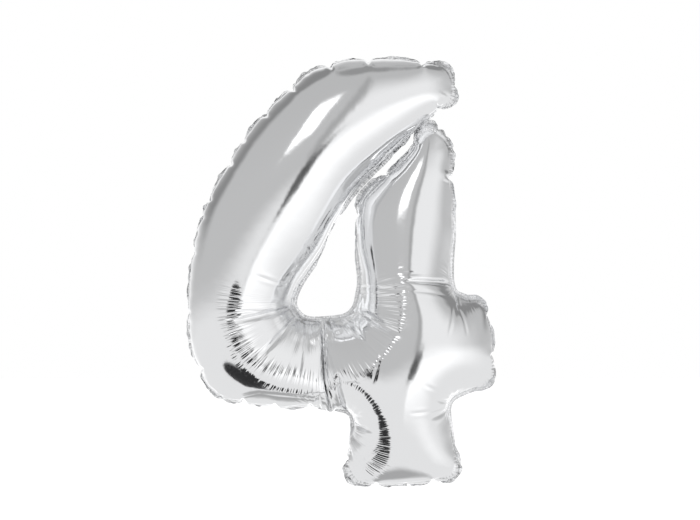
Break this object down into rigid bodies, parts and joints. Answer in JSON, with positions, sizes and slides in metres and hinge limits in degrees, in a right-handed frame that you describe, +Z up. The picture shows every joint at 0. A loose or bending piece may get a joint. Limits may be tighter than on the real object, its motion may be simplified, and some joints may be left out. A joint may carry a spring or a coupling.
{
  "type": "foil number balloon",
  "caption": "Filled silver foil balloon in the shape of the digit 4, two sealed sheets with a puckered seam, a window, and a filling tail folded behind the foot.",
  "frame": {"origin": "middle of the base: halfway across the digit, in the plane of the seam, level with the fold under the foot", "axes": "+X to the right as the digit is read, +Y away from the reader, +Z up"},
  "size_m": [0.5664, 0.2018, 0.7964],
  "materials": {
    "foil": "metallised film, mirror bright with fine wrinkles",
    "clear_film": "thin clear film, slightly hazy"
  },
  "bodies": {
    "envelope": {"front_panel": "foil", "back_panel": "foil", "valve_front_film": "clear_film", "valve_back_film": "clear_film"},
    "tail": {"tail_front_film": "foil", "tail_back_film": "foil"}
  },
  "joints": [
    {"name": "tail_fold", "type": "hinge", "parent": "envelope", "child": "tail", "pos_m": [0.109, 0, 0.00075], "axis": [-1, 0, 0], "range_deg": [0, 115]}
  ]
}
